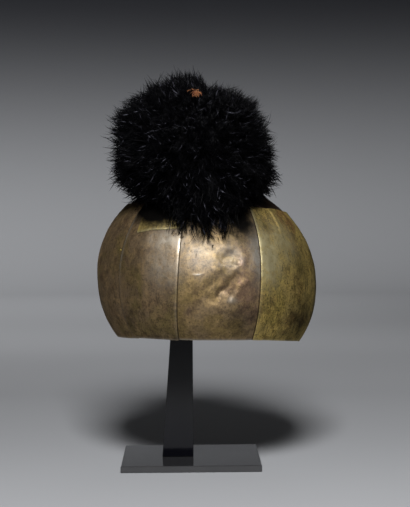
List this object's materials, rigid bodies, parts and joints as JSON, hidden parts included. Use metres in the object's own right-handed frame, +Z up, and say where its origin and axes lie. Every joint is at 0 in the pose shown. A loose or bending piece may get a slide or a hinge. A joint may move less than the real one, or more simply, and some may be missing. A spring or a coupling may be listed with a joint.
{
  "type": "plumed brass helmet on a plain display stand",
  "caption": "Globe-shaped helmet of overlapping brass sheets with a ball of black feathers on its crown, carried by a plain stand with a flat plate and a tapered post.",
  "frame": {"origin": "middle of the stand plate's underside", "axes": "+Z up; the front of the helmet, under which the plume hangs lowest, looks along -Y; +X is the viewer's right"},
  "size_m": [0.2435, 0.2664, 0.43],
  "materials": {
    "brass_brown": "tarnished brown",
    "brass_pale": "rubbed and dented",
    "brass_yellow": "speckled yellow",
    "brass_dark": "dark tarnish",
    "feather": "black feathers with a faint sheen",
    "black_steel": "satin black",
    "plate_steel": "polished dark grey"
  },
  "bodies": {
    "root": {"panel_front_left": "brass_brown", "panel_front": "brass_pale", "panel_right": "brass_yellow", "panel_right_back": "brass_yellow", "panel_back_right": "brass_brown", "panel_back_left": "brass_pale", "panel_left_back": "brass_brown", "panel_left": "brass_brown", "crown_cap": "brass_dark", "crown_patch": "brass_yellow", "plume": "feather", "support_disc": "black_steel", "stand_post": "black_steel", "stand_base": "plate_steel"}
  },
  "joints": []
}
